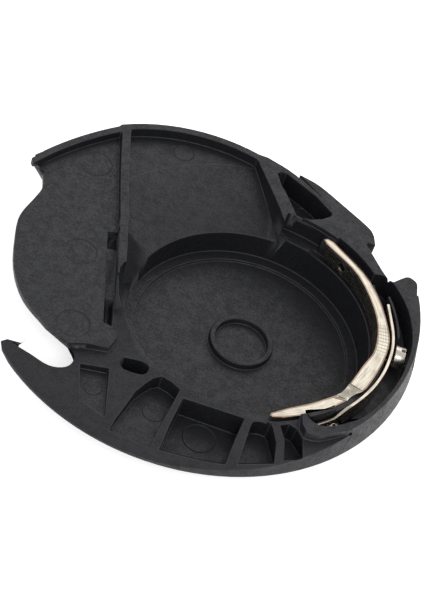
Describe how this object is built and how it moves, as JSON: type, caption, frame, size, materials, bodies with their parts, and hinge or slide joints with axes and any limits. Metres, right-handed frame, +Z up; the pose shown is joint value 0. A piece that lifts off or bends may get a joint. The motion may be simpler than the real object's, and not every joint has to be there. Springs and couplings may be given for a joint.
{
  "type": "bobbin case",
  "caption": "Drop-in bobbin case: moulded cup with an eccentric flange, steel thread guide plate, tension leaf spring and its screws.",
  "frame": {"origin": "centre of the cup's flat underside, on the cup's axis", "axes": "+Z up along the cup's axis, +X towards the tension screw side, +Y towards the scooped side"},
  "size_m": [0.0384, 0.037, 0.0068],
  "materials": {
    "black_plastic": "glass-filled, matt, fine moulded grain",
    "spring_steel": "bright rolled strip",
    "screw_steel": "turned, bright",
    "plain_steel": "plain pressed disc"
  },
  "bodies": {
    "case": {"case_body": "black_plastic", "guide_plate": "spring_steel", "fixing_screw": "screw_steel", "keeper_disc": "plain_steel"},
    "leaf": {"tension_leaf": "spring_steel"},
    "adjuster": {"adjusting_screw": "screw_steel"}
  },
  "joints": [
    {"name": "leaf_flex", "type": "hinge", "parent": "case", "child": "leaf", "pos_m": [0.00921, -0.00859, 0.005], "axis": [0, 0, 1], "range_deg": [-0.8, 0.1], "stiffness_Nm_per_rad": 0.02},
    {"name": "adjuster_turn", "type": "hinge", "parent": "case", "child": "adjuster", "pos_m": [0.01291, 0.00124, 0.00555], "axis": [0.9954, 0.0958, 0], "range_deg": [-180, 180]}
  ]
}
